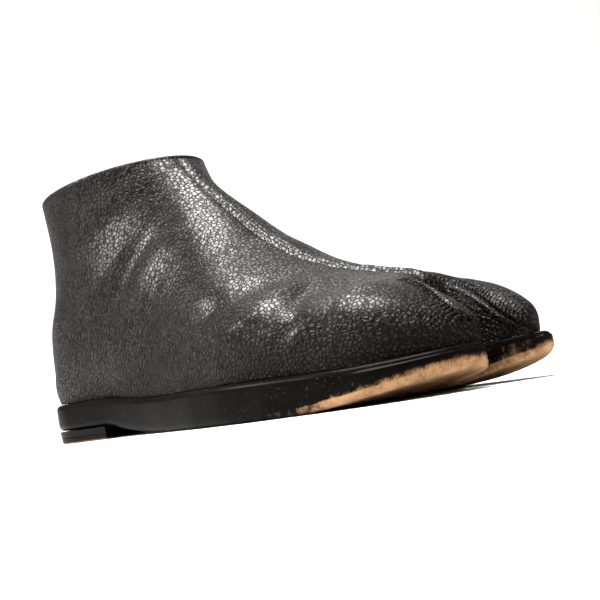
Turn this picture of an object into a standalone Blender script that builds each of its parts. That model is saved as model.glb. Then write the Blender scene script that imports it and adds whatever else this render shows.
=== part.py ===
"""Split-toe ankle boot for the right foot, standing empty on its sole.

+X runs to the toes, +Y to the inner side of the foot and +Z up. The origin is the
middle of the heel's tread on the floor. Lengths are in metres. Inside the functions
x is counted from the back end of the sole, and place() moves it to the origin.
"""

from collections import namedtuple
import math

import bmesh
import bpy
from mathutils import Vector
import numpy as np

# Sole
SOLE_LENGTH = 0.280
SOLE_MARGIN = 0.0026  # how far the sole stands out past the upper
TOE_MARGIN = 0.0042  # the same at the tip of the toes
SLOT_MARGIN = 0.0008  # the same inside the split
SOLE_AT_BALL = 0.0145
SOLE_LIP = 0.0022  # rounding of the sole's top edge
SOLE_EDGE = 0.0022  # rounding of its lower edge
TOE_SPRING = 0.0095
HEEL_LIFT = 0.0060
HEEL_BREAST = 0.066  # from the back of the sole to the front of the heel
HEEL_BACK = 0.034  # from the back of the sole to the origin
HEEL_FLARE = 0.0006  # how much smaller the heel's tread is than its top
INSOLE_THICKNESS = 0.0030

# Last
BALL_WIDTH = 0.099
WAIST_WIDTH = 0.062
HEEL_WIDTH = 0.066
SPLIT_LENGTH = 0.034  # from the big toe's tip back to the root of the split
SPLIT_GAP = 0.0036
SPLIT_SIDE = 0.0170  # of the split, to the inner side of the foot's axis
SPLIT_FOOT = 0.0035  # height and run over which the split's walls close at its root
LESSER_SHORT = 0.0040  # how far the outer lobe ends behind the big toe
LESSER_TIP_SIDE = 0.0005
BIG_TIP_SIDE = 0.0280
LESSER_ROUND = 0.046  # length of the rounded end of the outer lobe
BIG_ROUND = 0.030

# Upper
WALL = 0.0022
CLEARANCE = 0.0003
COLLAR_FRONT = 0.122  # height over the floor
COLLAR_BACK = 0.116
COLLAR_REACH = 0.110  # from the back of the sole to the collar's front
SHAFT_WIDTH = 0.068
BACK_HOLLOW = 0.0045
INSTEP_HEIGHT = 0.0765
ROOT_HEIGHT = 0.0455
LESSER_CROWN = 0.0305  # height of the outer lobe over the sole at the root
BIG_CROWN = 0.0280
TIP_HEIGHT = 0.0075  # upright front of each lobe over the sole
LOBE_BULGE = 0.0012
VALLEY_RUN = 0.0065  # length over which the split sinks in behind its root
SHOULDER_RUN = 0.050  # length over which the vamp takes the shape of the two lobes
SPLIT_EASE = 0.0012  # more room between the insole and the split's walls
SEAM_HALF = 0.0020
SEAM_RISE = 0.0009

# Finish of the mesh
QUARTER_STEPS = 9
RING_STEPS = 3
LOBE_STEPS = 12
SLAB_STEPS = 24
CURVE_STEPS = 60
FINE_STEPS = 960
MERGE = 0.000001
SMOOTH_ANGLE = math.radians(40)

HALF_BALL = BALL_WIDTH / 2
HALF_WAIST = WAIST_WIDTH / 2
HALF_HEEL = HEEL_WIDTH / 2
HALF_SHAFT = SHAFT_WIDTH / 2
FEATHER_BACK = SOLE_MARGIN
BIG_TIP = SOLE_LENGTH - TOE_MARGIN
LESSER_TIP = BIG_TIP - LESSER_SHORT
ROOT = BIG_TIP - SPLIT_LENGTH
HEEL_ROUND = HALF_HEEL

# The upper's lower edge seen from above, as if its ends were square
Edge = namedtuple("Edge", "along lateral medial")
EDGES = (
    Edge(0.00, 0.92 * HALF_HEEL, 0.92 * HALF_HEEL),
    Edge(0.12, 0.96 * HALF_HEEL, 0.94 * HALF_HEEL),
    Edge(0.24, 1.04 * HALF_WAIST, 0.94 * HALF_WAIST),
    Edge(0.36, 1.16 * HALF_WAIST, 0.88 * HALF_WAIST),
    Edge(0.48, 0.85 * HALF_BALL, 0.65 * HALF_BALL),
    Edge(0.58, 0.95 * HALF_BALL, 0.84 * HALF_BALL),
    Edge(0.67, 0.99 * HALF_BALL, 0.98 * HALF_BALL),
    Edge(0.73, 0.97 * HALF_BALL, 1.00 * HALF_BALL),
    Edge(0.82, 0.89 * HALF_BALL, 0.96 * HALF_BALL),
    Edge(0.90, 0.80 * HALF_BALL, 0.89 * HALF_BALL),
    Edge(1.00, 0.66 * HALF_BALL, 0.82 * HALF_BALL),
)

# The sole from the side: heel and toe are shares of their rises, body of the thickness,
# margin of the way from the usual margin to the toe's
Side = namedtuple("Side", "along heel toe body margin")
SIDES = (
    Side(0.00, 1.00, 0.00, 0.87, 0.0),
    Side(0.24, 1.00, 0.00, 0.89, 0.0),
    Side(0.29, 0.62, 0.00, 0.95, 0.0),
    Side(0.37, 0.22, 0.00, 1.03, 0.0),
    Side(0.48, 0.00, 0.00, 1.08, 0.0),
    Side(0.62, 0.00, 0.00, 1.09, 0.0),
    Side(0.76, 0.00, 0.00, 1.06, 0.0),
    Side(0.85, 0.00, 0.17, 0.92, 0.2),
    Side(0.93, 0.00, 0.54, 0.73, 0.6),
    Side(1.00, 0.00, 1.00, 0.55, 1.0),
)

# The front line from the collar to the split: falls 0 to 1 to the instep, then to 2
Ridge = namedtuple("Ridge", "along fall")
RIDGES = (
    Ridge(0.00, 0.00),
    Ridge(0.18, 0.52),
    Ridge(0.36, 1.00),
    Ridge(0.52, 1.42),
    Ridge(0.68, 1.66),
    Ridge(0.84, 1.84),
    Ridge(1.00, 2.00),
)

# The back line from the sole to the collar, pushed forward by shares of the hollow
Back = namedtuple("Back", "up forward")
BACKS = (
    Back(0.00, 0.00),
    Back(0.25, -0.45),
    Back(0.68, 1.00),
    Back(1.00, 0.70),
)

# Sections of the upper. base runs from -1 at the collar's back down to 0 at the sole, then
# along the sole's edge to 1 at the split. ridge is the share along the front line.
Section = namedtuple("Section", "base ridge seam lateral medial belly low top")
SECTIONS = (
    Section(-1.00, 0.000, 0.00, 1.00 * HALF_SHAFT, 1.00 * HALF_SHAFT, 0.49, 2.0, 2.0),
    Section(-0.74, 0.030, 0.00, 0.96 * HALF_SHAFT, 0.96 * HALF_SHAFT, 0.48, 2.0, 2.0),
    Section(-0.48, 0.058, 0.00, 0.96 * HALF_SHAFT, 0.95 * HALF_SHAFT, 0.46, 2.0, 2.0),
    Section(-0.23, 0.084, 0.00, 1.03 * HALF_HEEL, 1.02 * HALF_HEEL, 0.43, 2.45, 2.0),
    Section(0.000, 0.108, 0.00, 1.06 * HALF_HEEL, 1.05 * HALF_HEEL, 0.40, 2.6, 2.05),
    Section(0.070, 0.130, 0.00, 1.07 * HALF_HEEL, 1.06 * HALF_HEEL, 0.37, 2.6, 2.1),
    Section(0.150, 0.155, 0.00, 1.07 * HALF_HEEL, 1.06 * HALF_HEEL, 0.34, 2.45, 2.15),
    Section(0.240, 0.185, 0.00, 1.07 * HALF_HEEL, 1.06 * HALF_HEEL, 0.31, 2.25, 2.2),
    Section(0.340, 0.225, 0.00, 1.09 * HALF_HEEL, 1.05 * HALF_HEEL, 0.28, 2.0, 2.3),
    Section(0.450, 0.290, 0.02, 1.20 * HALF_WAIST, 1.12 * HALF_WAIST, 0.26, 2.0, 2.4),
    Section(0.570, 0.385, 0.08, 0.86 * HALF_BALL, 0.80 * HALF_BALL, 0.26, 2.0, 2.45),
    Section(0.690, 0.520, 0.24, 0.97 * HALF_BALL, 0.93 * HALF_BALL, 0.28, 2.0, 2.45),
    Section(0.815, 0.685, 0.50, 1.02 * HALF_BALL, 1.04 * HALF_BALL, 0.31, 2.1, 2.4),
    Section(0.920, 0.850, 0.80, 0.96 * HALF_BALL, 1.03 * HALF_BALL, 0.34, 2.1, 2.35),
    Section(0.982, 0.960, 1.00, 0.91 * HALF_BALL, 0.99 * HALF_BALL, 0.36, 2.1, 2.35),
    Section(1.000, 1.000, 1.00, 0.89 * HALF_BALL, 0.97 * HALF_BALL, 0.36, 2.1, 2.4),
)
FLOOR_ROW = 4  # the section whose base reaches the sole at the back of the heel

LATERAL = -1
MEDIAL = 1
Lobe = namedtuple("Lobe", "side tip tip_side round_length crown")
LOBES = {
    LATERAL: Lobe(LATERAL, LESSER_TIP, LESSER_TIP_SIDE, LESSER_ROUND, LESSER_CROWN),
    MEDIAL: Lobe(MEDIAL, BIG_TIP, BIG_TIP_SIDE, BIG_ROUND, BIG_CROWN),
}
END_POWER = 2.4  # roundness of the lobes' and heel's ends seen from above
NOSE_POWER = 1.95  # roundness of the lobes' noses seen from the side
CROWN_SHARE = 0.54  # of the way from a lobe's outer edge to the split
LOBE_BELLY = 0.40
LOBE_LOW = 2.1
LOBE_TOP = 2.3
NOSE_FALL = 0.38  # share of its height that a lobe's crown loses before it rounds off


def smooth(rows, column, at):
    """Reads a column through a monotone cubic over the table's first column."""
    knots = np.array([row[0] for row in rows], float)
    values = np.array([getattr(row, column) for row in rows], float)
    return cubic(knots, values, at)


def cubic(knots, values, at):
    """Cubic through the values whose slopes never overshoot a rise or a level run."""
    step = np.diff(knots)
    slope = np.diff(values) / step
    tangent = np.concatenate(([slope[0]], np.zeros(len(slope) - 1), [slope[-1]]))
    before, after = slope[:-1], slope[1:]
    same = before * after > 0
    near = 2 * step[1:] + step[:-1]
    far = step[1:] + 2 * step[:-1]
    safe_before = np.where(same, before, 1)
    safe_after = np.where(same, after, 1)
    mean = (near + far) / (near / safe_before + far / safe_after)
    tangent[1:-1] = np.where(same, mean, 0)
    at = np.clip(np.asarray(at, float), knots[0], knots[-1])
    low = np.clip(np.searchsorted(knots, at, side="right") - 1, 0, len(step) - 1)
    width = step[low]
    share = (at - knots[low]) / width
    square = share * share
    cube = square * share
    return (
        (2 * cube - 3 * square + 1) * values[low]
        + (cube - 2 * square + share) * width * tangent[low]
        + (3 * square - 2 * cube) * values[low + 1]
        + (cube - square) * width * tangent[low + 1]
    )


def end_round(share):
    """Width left at a share of the way through a rounded end, 1 at its start, 0 at its tip."""
    share = np.clip(share, 0, 1)
    return (1 - share**END_POWER) ** (1 / END_POWER)


def edge(x, side):
    """Side distance of the upper's lower edge from the axis, with the heel's end rounded."""
    column = "lateral" if side == LATERAL else "medial"
    along = (x - FEATHER_BACK) / (BIG_TIP - FEATHER_BACK)
    back = (FEATHER_BACK + HEEL_ROUND - x) / HEEL_ROUND
    return side * smooth(EDGES, column, along) * end_round(back)


def sole_bottom(x):
    along = x / SOLE_LENGTH
    heel = smooth(SIDES, "heel", along) * (HEEL_LIFT + CLEARANCE)
    return heel + smooth(SIDES, "toe", along) * TOE_SPRING


def sole_top(x):
    return sole_bottom(x) + smooth(SIDES, "body", x / SOLE_LENGTH) * SOLE_AT_BALL


def toe_share(x):
    """Share of the way from the sole's usual margin to the one at the toe."""
    return smooth(SIDES, "margin", x / SOLE_LENGTH)


def ridge_height(x):
    """Height of the front line, which falls from the collar to the instep and the split."""
    fall = smooth(RIDGES, "fall", (x - COLLAR_REACH) / (ROOT - COLLAR_REACH))
    upper_part = COLLAR_FRONT + (INSTEP_HEIGHT - COLLAR_FRONT) * np.minimum(fall, 1)
    return upper_part + (ROOT_HEIGHT - INSTEP_HEIGHT) * np.maximum(fall - 1, 0)


def edge_stations(count):
    """Places along x, from the heel's back to the split, evenly spaced along the edge."""
    fine = FEATHER_BACK + (ROOT - FEATHER_BACK) * np.linspace(0, 1, FINE_STEPS) ** 2
    width = (edge(fine, MEDIAL) - edge(fine, LATERAL)) / 2
    walked = np.concatenate(([0], np.cumsum(np.hypot(np.diff(fine), np.diff(width)))))
    return np.interp(np.linspace(0, 1, count) * walked[-1], walked, fine)


def resample(points, shares):
    """Points at the given shares of a polyline's length."""
    step = np.linalg.norm(np.diff(points, axis=0), axis=1)
    walked = np.concatenate(([0], np.cumsum(step)))
    at = np.asarray(shares) * walked[-1]
    return np.stack([np.interp(at, walked, column) for column in points.T], axis=1)


def length_of(points):
    return np.linalg.norm(np.diff(points, axis=0), axis=1).sum()


def rim_shares(length, seam_first):
    """Shares from one end to the other, with one step of the seam's half width at an end."""
    narrow = min(SEAM_HALF / length, 1 / QUARTER_STEPS)
    even = narrow + (1 - narrow) * np.linspace(0, 1, QUARTER_STEPS)
    shares = np.concatenate(([0], even))
    return shares if seam_first else 1 - shares[::-1]


def quarter(count, power):
    """Quarter of a rounded square: run from 1 to 0 and rise from 0 to 1."""
    turn = np.linspace(0, math.pi / 2, count)
    return np.cos(turn) ** (2 / power), np.sin(turn) ** (2 / power)


def arch_half(base, ridge, base_side, ridge_side, belly_side, belly, low, top):
    """One side of a section, from the sole's edge out to the belly and in to the ridge."""
    run, rise = quarter(CURVE_STEPS, low)
    low_up = belly * (1 - run)
    side = math.copysign(1, belly_side)
    low_side = side * np.sqrt(base_side**2 + (belly_side**2 - base_side**2) * rise**2)
    run, rise = quarter(CURVE_STEPS, top)
    top_up = belly + (1 - belly) * rise
    top_side = ridge_side + (belly_side - ridge_side) * run
    up = np.concatenate((low_up, top_up[1:]))
    side = np.concatenate((low_side, top_side[1:]))
    x = base[0] + (ridge[0] - base[0]) * up
    z = base[1] + (ridge[1] - base[1]) * up
    points = np.stack((x, side, z), axis=1)
    half = length_of(points) / 2
    lower = rim_shares(half, True) / 2
    upper = (1 + rim_shares(half, False)) / 2
    return resample(points, np.concatenate((lower, upper[1:])))


def lobe_shape(lobe, x):
    """Outer edge, split wall and crown of a lobe at x."""
    share = np.clip((x - ROOT) / (lobe.tip - ROOT), 0, 1)
    taper = end_round((x - lobe.tip + lobe.round_length) / lobe.round_length)
    outer = lobe.tip_side + (edge(x, lobe.side) - lobe.tip_side) * taper
    wall = SPLIT_SIDE + lobe.side * SPLIT_GAP / 2
    wall = lobe.tip_side + (wall - lobe.tip_side) * taper
    still_closed = 1 - min(share * (lobe.tip - ROOT) / SPLIT_FOOT, 1)
    foot_open = math.sqrt(1 - still_closed**2)
    foot = wall - lobe.side * (1 - foot_open) * SPLIT_GAP / 2
    nose = (1 - share**NOSE_POWER) ** (1 / NOSE_POWER)
    level = lobe.crown * (1 - NOSE_FALL * share)
    height = TIP_HEIGHT + (level - TIP_HEIGHT) * nose
    return outer, wall, foot, height, taper


def lobe_half(lobe, x):
    """Section of a lobe from its outer edge over the crown and down to the split."""
    outer, wall, foot, height, taper = lobe_shape(lobe, x)
    crown = outer + CROWN_SHARE * (wall - outer)
    bulge = outer + lobe.side * LOBE_BULGE * taper
    run, rise = quarter(CURVE_STEPS, LOBE_LOW)
    low = np.stack((outer + (bulge - outer) * rise, height * LOBE_BELLY * (1 - run)), axis=1)
    run, rise = quarter(CURVE_STEPS, LOBE_TOP)
    shoulder = height * (LOBE_BELLY + (1 - LOBE_BELLY) * rise)
    high = np.stack((crown + (bulge - crown) * run, shoulder), axis=1)
    inner = np.stack((crown + (wall - crown) * run, shoulder), axis=1)
    closing = min(SPLIT_FOOT, height * LOBE_BELLY)
    run, rise = quarter(CURVE_STEPS, 2)
    bottom = np.stack((foot + (wall - foot) * rise, closing * (1 - run)), axis=1)
    outside = np.concatenate((low, high[1:]))
    inside = np.concatenate((bottom, inner))[::-1]
    first = resample(outside, rim_shares(length_of(outside), True))
    last = resample(inside, rim_shares(length_of(inside), False))
    flat = np.concatenate((first, last[1:]))
    base = sole_top(x) + CLEARANCE
    return np.stack((np.full(len(flat), x), flat[:, 0], base + flat[:, 1]), axis=1)


def section_base(base):
    """Foot of a section: down the back line while base is negative, then along the edge."""
    if base < 0:
        floor = sole_top(FEATHER_BACK) + CLEARANCE
        forward = BACK_HOLLOW * smooth(BACKS, "forward", -base)
        return FEATHER_BACK + forward, floor + (COLLAR_BACK - floor) * -base
    stations = edge_stations(SLAB_STEPS)
    x = float(np.interp(base, np.linspace(0, 1, SLAB_STEPS), stations))
    return x, float(sole_top(x)) + CLEARANCE


def share_before_root(x, run):
    """Share of the way through a run that ends at the split's root."""
    return min(max((x - ROOT + run) / run, 0), 1)


def into_lobe(half, lobe, x):
    """Turns a side of a section into its lobe: the shoulder early, the split at the last."""
    near = share_before_root(x, SHOULDER_RUN)
    shoulder = near * near * (3 - 2 * near)
    sunk = share_before_root(x, VALLEY_RUN)
    depth = 1 - math.sqrt(1 - sunk * sunk)
    if shoulder == 0:
        return half
    target = lobe_half(lobe, x)
    crown = QUARTER_STEPS
    shift = (target[crown] - half[crown]) * shoulder
    outer = half[:crown] + (target[:crown] - half[:crown]) * shoulder
    across = np.linspace(1, 0, crown + 1)[:, None]
    inner = half[crown:] + shift * across
    inner = inner + (target[crown:] - inner) * depth
    return np.concatenate((outer, inner))


def body_ring(row):
    """One ring from the outer edge over the front line to the inner edge."""
    names = Section._fields
    numbers = np.arange(len(SECTIONS))
    section = Section(*(
        float(cubic(numbers, np.array([getattr(s, name) for s in SECTIONS]), row))
        for name in names
    ))
    base_x, base_z = section_base(section.base)
    ridge_x = COLLAR_REACH + (ROOT - COLLAR_REACH) * section.ridge
    ridge = (ridge_x, float(ridge_height(ridge_x)))
    seam = section.seam * SPLIT_SIDE
    halves = []
    for side, belly in ((LATERAL, section.lateral), (MEDIAL, section.medial)):
        base_side = float(edge(base_x, side)) if row > FLOOR_ROW else 0.0
        half = arch_half(
            (base_x, base_z), ridge, base_side, seam,
            side * belly, section.belly, section.low, section.top,
        )
        halves.append(into_lobe(half, LOBES[side], base_x))
    ring = np.concatenate((halves[0], halves[1][::-1][1:]))
    ring[2 * QUARTER_STEPS, 2] += SEAM_RISE * (1 - share_before_root(base_x, VALLEY_RUN))
    return ring


def lobe_shares(count):
    """Shares of a lobe's length, closer together at the split's root and at the tip."""
    return (1 - np.cos(np.linspace(0, math.pi, count + 1)[1:])) / 2


def lobe_grid(lobe):
    """Sections of a lobe ahead of the root."""
    shares = lobe_shares(LOBE_STEPS)
    grid = np.array([lobe_half(lobe, ROOT + (lobe.tip - ROOT) * s) for s in shares])
    last = grid[-1]
    grid[-1] = (last + last[::-1]) / 2
    return grid


def add_grid(mesh, grid):
    """Quads over a grid of points. Columns run across, so that faces point outwards."""
    verts = [[mesh.verts.new(point) for point in row] for row in grid]
    for near, far in zip(verts, verts[1:]):
        for k in range(len(near) - 1):
            mesh.faces.new((near[k], far[k], far[k + 1], near[k + 1]))


def place(mesh):
    """Moves x from the back of the sole to the origin."""
    bmesh.ops.translate(mesh, verts=mesh.verts, vec=(-HEEL_BACK, 0, 0))


def upper_skin():
    """Outside of the upper as one open surface."""
    rows = np.linspace(0, len(SECTIONS) - 1, (len(SECTIONS) - 1) * RING_STEPS + 1)
    body = np.array([body_ring(row) for row in rows])
    skin = bmesh.new()
    add_grid(skin, body)
    middle = 2 * QUARTER_STEPS
    for side, root in ((LATERAL, body[-1][:middle + 1]), (MEDIAL, body[-1][middle:])):
        grid = lobe_grid(LOBES[side])
        if side == MEDIAL:
            grid = grid[:, ::-1]
        add_grid(skin, np.concatenate((root[None], grid)))
    bmesh.ops.remove_doubles(skin, verts=skin.verts, dist=MERGE)
    bmesh.ops.dissolve_degenerate(skin, edges=skin.edges, dist=MERGE)
    skin.normal_update()
    return skin


def rim_offset(vert, level):
    """Outward direction at a rim, held level in the rim's own plane."""
    ring = [e.other_vert(vert).co for e in vert.link_edges if e.is_boundary]
    tangent = (ring[0] - ring[1]).normalized()
    normal = vert.normal - level * vert.normal.dot(level)
    normal -= tangent * normal.dot(tangent)
    return normal.normalized()


def thicken(skin):
    """Gives the skin its wall inwards, with the rims flat."""
    slant = Vector((COLLAR_REACH, 0, COLLAR_FRONT - COLLAR_BACK)).normalized()
    collar_level = slant.cross(Vector((0, -1, 0)))
    outer = list(skin.verts)
    faces = list(skin.faces)
    rims = [e for e in skin.edges if e.is_boundary]
    inner = {}
    for vert in outer:
        direction = vert.normal
        point = vert.co - direction * WALL
        if vert.is_boundary:
            at_collar = vert.co.z > INSTEP_HEIGHT
            level = collar_level if at_collar else Vector((0, 0, 1))
            point = vert.co - rim_offset(vert, level) * WALL
            if not at_collar:
                point.z = float(sole_top(point.x)) + CLEARANCE
        inner[vert] = skin.verts.new(point)
    for face in faces:
        skin.faces.new([inner[v] for v in reversed(face.verts)])
    for rim in rims:
        first, second = rim.verts
        skin.faces.new((first, second, inner[second], inner[first]))


def feather_loop(count, lobe_count):
    """Lower edge of the upper from above, once round, and the pairs across it."""
    body_x = edge_stations(count)
    shares = lobe_shares(lobe_count)
    outer, inner = {}, {}
    for side, lobe in LOBES.items():
        xs = ROOT + (lobe.tip - ROOT) * shares
        shapes = [lobe_shape(lobe, x) for x in xs]
        body = [(x, float(edge(x, side))) for x in body_x[1:-1]]
        root_side = float(lobe_shape(lobe, ROOT)[0])
        outer[side] = body + [(ROOT, root_side)] + [(x, s[0]) for x, s in zip(xs, shapes)]
        inner[side] = [(x, s[2]) for x, s in zip(xs[:-1], shapes)]
    loop = [(FEATHER_BACK, 0.0)] + outer[LATERAL] + inner[LATERAL][::-1]
    loop += [(ROOT, SPLIT_SIDE)] + inner[MEDIAL] + outer[MEDIAL][::-1]
    in_split = [0.0] + [0.0] * len(outer[LATERAL]) + [1.0] * len(inner[LATERAL]) + [1.0]
    in_split += [1.0] * len(inner[MEDIAL]) + [0.0] * len(outer[MEDIAL])
    return np.array(loop), np.array(in_split)


def widen(loop, amount):
    """Moves a loop outwards, to the right of its way round, by an amount at each point."""
    ahead = np.roll(loop, -1, axis=0) - loop
    ahead /= np.linalg.norm(ahead, axis=1)[:, None]
    mean = ahead + np.roll(ahead, 1, axis=0)
    mean /= np.linalg.norm(mean, axis=1)[:, None]
    outward = np.stack((mean[:, 1], -mean[:, 0]), axis=1)
    return loop + outward * np.asarray(amount)[:, None]


def cap_faces(count, lobe_count):
    """Faces across a feather loop, by its numbering, from heel to toes."""
    body = count - 1
    first_lobe = body + lobe_count
    root = first_lobe + lobe_count
    total = 1 + 2 * (body + lobe_count) + 2 * (lobe_count - 1) + 1
    faces = [(0, 1, total - 1)]
    for k in range(1, body - 1):
        faces.append((k, k + 1, total - k - 1, total - k))
    faces.append((body - 1, body, root))
    faces.append((body - 1, root, total - body + 1))
    faces.append((root, total - body, total - body + 1))
    lateral_in = [root - k for k in range(lobe_count)]
    medial_in = [root + k for k in range(lobe_count)]
    for k in range(lobe_count - 1):
        faces.append((body + k, body + k + 1, lateral_in[k + 1], lateral_in[k]))
        faces.append((total - body - k, medial_in[k], medial_in[k + 1], total - body - k - 1))
    k = lobe_count - 1
    faces.append((body + k, first_lobe, lateral_in[k]))
    faces.append((total - body - k, medial_in[k], total - first_lobe))
    return faces


def slab(levels, count, lobe_count):
    """Closed solid through loops of equal numbering, one above the other."""
    mesh = bmesh.new()
    rings = [[mesh.verts.new(point) for point in level] for level in levels]
    for near, far in zip(rings, rings[1:]):
        for k in range(len(near)):
            following = (k + 1) % len(near)
            mesh.faces.new((near[k], near[following], far[following], far[k]))
    for ring in (rings[0], rings[-1]):
        for face in cap_faces(count, lobe_count):
            mesh.faces.new([ring[k] for k in face])
    bmesh.ops.recalc_face_normals(mesh, faces=mesh.faces)
    return mesh


def raised(loop, heights):
    return np.column_stack((loop, heights))


def outsole_mesh():
    """Sole with a rounded lip, an upright edge and a rounded lower edge."""
    loop, in_split = feather_loop(SLAB_STEPS, LOBE_STEPS)
    outside = SOLE_MARGIN + (TOE_MARGIN - SOLE_MARGIN) * toe_share(loop[:, 0])
    margin = outside + (SLOT_MARGIN - outside) * in_split
    bend = 1 - math.sqrt(0.5)
    levels = []
    for inset, drop in ((1, 0), (bend, bend), (0, 1)):
        ring = widen(loop, margin - inset * np.minimum(SOLE_LIP, margin))
        levels.append(raised(ring, sole_top(ring[:, 0]) - drop * SOLE_LIP))
    for inset, lift in ((0, 1), (bend, bend), (1, 0)):
        ring = widen(loop, margin - inset * np.minimum(SOLE_EDGE, margin))
        levels.append(raised(ring, sole_bottom(ring[:, 0]) + lift * SOLE_EDGE))
    return slab(levels, SLAB_STEPS, LOBE_STEPS)


def insole_mesh():
    """Footbed that fills the floor inside the upper's wall."""
    loop, in_split = feather_loop(SLAB_STEPS, LOBE_STEPS)
    ring = widen(loop, -WALL - CLEARANCE - SPLIT_EASE * in_split)
    base = sole_top(ring[:, 0]) + CLEARANCE
    return slab([raised(ring, base), raised(ring, base + INSOLE_THICKNESS)], SLAB_STEPS, LOBE_STEPS)


def heel_mesh():
    """Lift with the sole's outline behind its straight front."""
    loop, in_split = feather_loop(SLAB_STEPS, LOBE_STEPS)
    edge_line = widen(loop, np.full(len(loop), SOLE_MARGIN))
    body = SLAB_STEPS - 1
    halves = {
        LATERAL: edge_line[1:body],
        MEDIAL: edge_line[-1:-body:-1],
    }
    ends = {}
    for side, points in halves.items():
        points = points[points[:, 0] < HEEL_BREAST - SOLE_EDGE]
        beyond = halves[side][len(points)]
        last = points[-1]
        share = (HEEL_BREAST - last[0]) / (beyond[0] - last[0])
        ends[side] = np.vstack((points, last + share * (beyond - last)))
    outline = np.vstack((edge_line[:1], ends[LATERAL], ends[MEDIAL][::-1]))
    middle = np.array((HEEL_BREAST / 2, 0))
    mesh = bmesh.new()
    rings = []
    rounding = SOLE_EDGE / 2
    for height, inset in ((HEEL_LIFT, 0), (rounding, HEEL_FLARE), (0, HEEL_FLARE + rounding)):
        reach = np.linalg.norm(outline - middle, axis=1)
        ring = outline + (middle - outline) / reach[:, None] * inset
        rings.append([mesh.verts.new((x, y, height)) for x, y in ring])
    for near, far in zip(rings, rings[1:]):
        for k in range(len(near)):
            following = (k + 1) % len(near)
            mesh.faces.new((near[k], near[following], far[following], far[k]))
    mesh.faces.new(rings[0])
    mesh.faces.new(rings[-1])
    bmesh.ops.recalc_face_normals(mesh, faces=mesh.faces)
    return mesh


def upper_mesh():
    skin = upper_skin()
    thicken(skin)
    bmesh.ops.recalc_face_normals(skin, faces=skin.faces)
    return skin


def material(name, colour, roughness):
    made = bpy.data.materials.new(name)
    made.use_nodes = True
    shader = made.node_tree.nodes["Principled BSDF"]
    shader.inputs["Base Color"].default_value = (*colour, 1)
    shader.inputs["Roughness"].default_value = roughness
    shader.inputs["Metallic"].default_value = 0
    return made


def add_piece(collection, name, mesh, finish):
    place(mesh)
    data = bpy.data.meshes.new(name)
    mesh.to_mesh(data)
    mesh.free()
    data.shade_smooth()
    data.set_sharp_from_angle(angle=SMOOTH_ANGLE)
    data.materials.append(finish)
    collection.objects.link(bpy.data.objects.new(name, data))


def build():
    for old in list(bpy.data.objects):
        bpy.data.objects.remove(old)
    collection = bpy.data.collections.new("split_toe_boot")
    bpy.context.scene.collection.children.link(collection)
    black_leather = material("black_leather", (0.018, 0.015, 0.014), 0.42)
    painted_edge = material("painted_edge", (0.012, 0.011, 0.011), 0.35)
    lining_leather = material("lining_leather", (0.35, 0.24, 0.15), 0.6)
    add_piece(collection, "upper", upper_mesh(), black_leather)
    add_piece(collection, "outsole", outsole_mesh(), painted_edge)
    add_piece(collection, "heel", heel_mesh(), painted_edge)
    add_piece(collection, "insole", insole_mesh(), lining_leather)


build()
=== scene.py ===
import math

import bmesh
import bpy
import numpy as np
from mathutils import Matrix, Vector


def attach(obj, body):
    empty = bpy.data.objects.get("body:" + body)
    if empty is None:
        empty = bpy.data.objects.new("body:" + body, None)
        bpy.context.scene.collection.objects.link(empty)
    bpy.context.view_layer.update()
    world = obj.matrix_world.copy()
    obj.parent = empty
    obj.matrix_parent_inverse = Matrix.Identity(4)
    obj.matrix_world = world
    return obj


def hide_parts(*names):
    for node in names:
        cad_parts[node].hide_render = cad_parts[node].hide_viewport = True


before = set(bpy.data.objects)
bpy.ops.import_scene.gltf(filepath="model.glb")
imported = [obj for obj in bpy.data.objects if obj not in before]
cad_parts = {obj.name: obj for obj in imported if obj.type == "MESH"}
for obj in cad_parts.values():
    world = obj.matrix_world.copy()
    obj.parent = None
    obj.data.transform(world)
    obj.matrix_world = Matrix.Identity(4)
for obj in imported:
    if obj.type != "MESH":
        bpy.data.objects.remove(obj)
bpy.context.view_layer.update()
print("frame loaded")

# Shape of the last and the sole, metres. x is counted from the back of the sole.
last = {
    "soleLength": 0.280, "soleMargin": 0.0026, "toeMargin": 0.0042, "slotMargin": 0.0008,
    "soleAtBall": 0.0145, "toeSpring": 0.0095, "heelLift": 0.0063, "heelBack": 0.034,
    "ballHalf": 0.0495, "waistHalf": 0.031, "heelHalf": 0.033, "shaftHalf": 0.034,
    "splitLength": 0.034, "splitGap": 0.0036, "splitSide": 0.0170, "splitFoot": 0.0035,
    "clearance": 0.0003, "wall": 0.0022,
    "collarFront": 0.122, "collarBack": 0.116, "collarReach": 0.110, "backHollow": 0.0045,
    "instepHeight": 0.0765, "rootHeight": 0.0455, "tipHeight": 0.0075, "lobeBulge": 0.0012,
    "valleyRun": 0.0065, "shoulderRun": 0.050, "noseFall": 0.38, "endPower": 2.4, "nosePower": 1.95,
    "crownShare": 0.54, "lobeBelly": 0.40, "lobeLow": 2.1, "lobeTop": 2.3,
}
bigTip = last["soleLength"] - last["toeMargin"]
root = bigTip - last["splitLength"]
back = last["soleMargin"]
lobes = {  # the four lesser toes on the outer side, the big toe on the inner side
    -1: {"side": -1, "tip": bigTip - 0.0040, "tipSide": 0.0005, "round": 0.046, "crown": 0.0305},
    1: {"side": 1, "tip": bigTip, "tipSide": 0.0280, "round": 0.030, "crown": 0.0280},
}
ball, waist, heelHalf, shaft = (last[k] for k in ("ballHalf", "waistHalf", "heelHalf", "shaftHalf"))
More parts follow.
